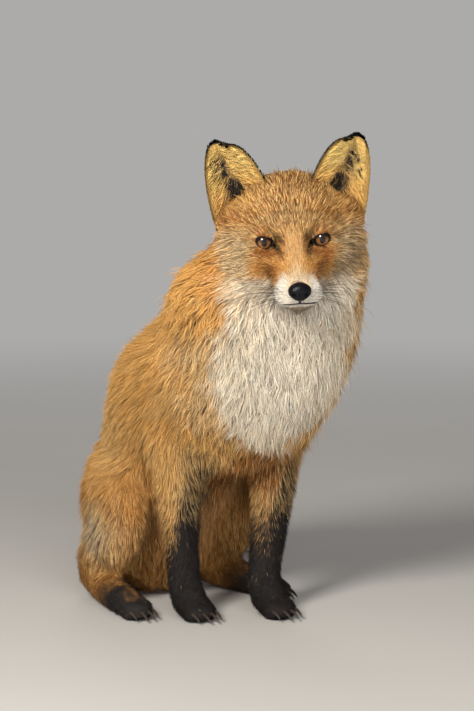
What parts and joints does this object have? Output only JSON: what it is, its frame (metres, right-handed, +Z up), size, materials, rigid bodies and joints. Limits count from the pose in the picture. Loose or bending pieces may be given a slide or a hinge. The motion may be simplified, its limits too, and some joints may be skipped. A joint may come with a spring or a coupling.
{
  "type": "red fox model",
  "caption": "Life-size still model of a red fox sitting upright, head turned to one side, ears pricked, thick coat, brush curled behind it on the floor",
  "frame": {"origin": "centre of the footprint of the whole model, on the floor under it", "axes": "+Z up; the fox sits facing -Y, so +X is its own left side; its head is turned towards its right"},
  "size_m": [0.3612, 0.6058, 0.519],
  "materials": {
    "coat": "soft fur over skin, orange above, cream on throat and chest, black on feet and backs of ears",
    "eye": "wet gloss, amber iris with dark pupil",
    "nose": "moist pebbled black",
    "claw": "horn with a low sheen"
  },
  "bodies": {
    "root": {"trunk": "coat", "neck": "coat", "head": "coat", "ear_left": "coat", "ear_right": "coat", "eye_left": "eye", "eye_right": "eye", "nose": "nose", "foreleg_left": "coat", "foreleg_right": "coat", "forepaw_left": "coat", "forepaw_right": "coat", "hindleg_left": "coat", "hindleg_right": "coat", "hindpaw_left": "coat", "hindpaw_right": "coat", "tail_root": "coat", "tail_brush": "coat", "tail_tip": "coat", "foreclaw_left_1": "claw", "foreclaw_left_2": "claw", "foreclaw_left_3": "claw", "foreclaw_left_4": "claw", "foreclaw_right_1": "claw", "foreclaw_right_2": "claw", "foreclaw_right_3": "claw", "foreclaw_right_4": "claw", "hindclaw_left_1": "claw", "hindclaw_left_2": "claw", "hindclaw_left_3": "claw", "hindclaw_left_4": "claw", "hindclaw_right_1": "claw", "hindclaw_right_2": "claw", "hindclaw_right_3": "claw", "hindclaw_right_4": "claw"}
  },
  "joints": []
}
